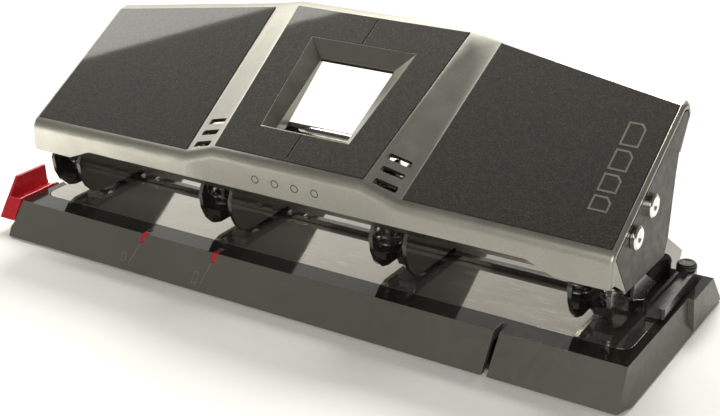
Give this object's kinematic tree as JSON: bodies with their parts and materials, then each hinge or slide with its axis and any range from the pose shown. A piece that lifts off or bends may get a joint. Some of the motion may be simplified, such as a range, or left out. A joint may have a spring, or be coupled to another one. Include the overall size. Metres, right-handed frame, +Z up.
{
  "type": "hole punch",
  "caption": "Wide desk hole punch: a sloping lever handle over sheet-steel punch heads on a trough base, with a sliding paper guide.",
  "frame": {"origin": "on the table, under the middle of the row of holes, at the middle rubber foot's lower face", "axes": "+X along the row of holes to the user's right, +Y from the paper side to the back, +Z up"},
  "size_m": [0.2905, 0.0983, 0.0976],
  "materials": {
    "base_plastic": "satin moulded plastic, very fine grain",
    "floor_plastic": "matt moulded plastic",
    "red_plastic": "smooth red plastic",
    "block_black": "smooth black plastic",
    "foot_rubber": "matt rubber",
    "deck_steel": "mirror-bright plated sheet steel",
    "bracket_steel": "black nickel plating",
    "stop_steel": "glossy black paint",
    "side_dark": "satin dark grey paint",
    "catch_dark": "satin black paint",
    "lever_black": "satin black paint",
    "panel_dark": "fine-grained dark metallic paint",
    "shell_silver": "satin silver paint",
    "liner_metal": "satin silver paint",
    "axle_chrome": "bright plated steel",
    "die_steel": "ground tool steel",
    "screw_steel": "zinc-plated steel",
    "spring_steel": "drawn spring wire"
  },
  "bodies": {
    "base": {"base_shell": "base_plastic", "bottom_plate": "floor_plastic", "floor_screws": "screw_steel", "rubber_foot_0": "foot_rubber", "rubber_foot_1": "foot_rubber", "rubber_foot_2": "foot_rubber", "rubber_foot_3": "foot_rubber", "rubber_foot_4": "foot_rubber", "deck_plate": "deck_steel", "die_1": "die_steel", "die_2": "die_steel", "die_3": "die_steel", "die_4": "die_steel", "bracket_1": "bracket_steel", "bracket_2": "bracket_steel", "bracket_3": "bracket_steel", "bracket_4": "bracket_steel", "bracket_screws_1": "screw_steel", "bracket_screws_2": "screw_steel", "bracket_screws_3": "screw_steel", "bracket_screws_4": "screw_steel", "guide_block_1": "block_black", "guide_block_2": "block_black", "guide_block_3": "block_black", "guide_block_4": "block_black", "pivot_axle": "axle_chrome", "paper_stop": "stop_steel", "format_mark_short": "red_plastic", "format_mark_long": "red_plastic", "lock_pivot": "lever_black", "hatch_pin": "screw_steel"},
    "handle": {"handle_shell": "shell_silver", "wing_left": "panel_dark", "wing_right": "panel_dark", "centre_panel": "panel_dark", "window_liner": "liner_metal", "side_plate_left": "side_dark", "side_plate_right": "side_dark", "press_axle": "axle_chrome", "lock_catch": "catch_dark"},
    "guide": {"guide_fence": "red_plastic", "guide_rack": "floor_plastic"},
    "lock": {"lock_lever": "lever_black"},
    "hatch": {"hatch_door": "floor_plastic"},
    "punch_1": {"punch_pin_1": "die_steel", "spring_collar_1": "block_black", "return_spring_1": "spring_steel"},
    "punch_2": {"punch_pin_2": "die_steel", "spring_collar_2": "block_black", "return_spring_2": "spring_steel"},
    "punch_3": {"punch_pin_3": "die_steel", "spring_collar_3": "block_black", "return_spring_3": "spring_steel"},
    "punch_4": {"punch_pin_4": "die_steel", "spring_collar_4": "block_black", "return_spring_4": "spring_steel"}
  },
  "joints": [
    {"name": "handle_press", "type": "hinge", "parent": "base", "child": "handle", "pos_m": [0, -0.0119, 0.0519], "axis": [-1, 0, 0], "range_deg": [0, 24], "stiffness_Nm_per_rad": 4, "springref_deg": -11.46},
    {"name": "punch_stroke_1", "type": "slide", "parent": "base", "child": "punch_1", "axis": [0, 0, -1], "range_m": [0, 0.006], "deforming": ["return_spring_1"]},
    {"name": "punch_stroke_2", "type": "slide", "parent": "base", "child": "punch_2", "axis": [0, 0, -1], "range_m": [0, 0.006], "deforming": ["return_spring_2"]},
    {"name": "punch_stroke_3", "type": "slide", "parent": "base", "child": "punch_3", "axis": [0, 0, -1], "range_m": [0, 0.006], "deforming": ["return_spring_3"]},
    {"name": "punch_stroke_4", "type": "slide", "parent": "base", "child": "punch_4", "axis": [0, 0, -1], "range_m": [0, 0.006], "deforming": ["return_spring_4"]},
    {"name": "guide_slide", "type": "slide", "parent": "base", "child": "guide", "axis": [-1, 0, 0], "range_m": [0, 0.06]},
    {"name": "lock_swing", "type": "hinge", "parent": "base", "child": "lock", "pos_m": [0.133, 0.04, 0.0175], "axis": [0, 0, -1], "range_deg": [0, 3.2]},
    {"name": "hatch_swing", "type": "hinge", "parent": "base", "child": "hatch", "pos_m": [0.051, 0.0075, 0.0025], "axis": [0, 1, 0], "range_deg": [0, 80]}
  ],
  "couplings": [
    {"joint": "punch_stroke_1", "follows": "handle_press", "m_per_rad": 0.014221},
    {"joint": "punch_stroke_2", "follows": "handle_press", "m_per_rad": 0.014221},
    {"joint": "punch_stroke_3", "follows": "handle_press", "m_per_rad": 0.014221},
    {"joint": "punch_stroke_4", "follows": "handle_press", "m_per_rad": 0.014221}
  ]
}
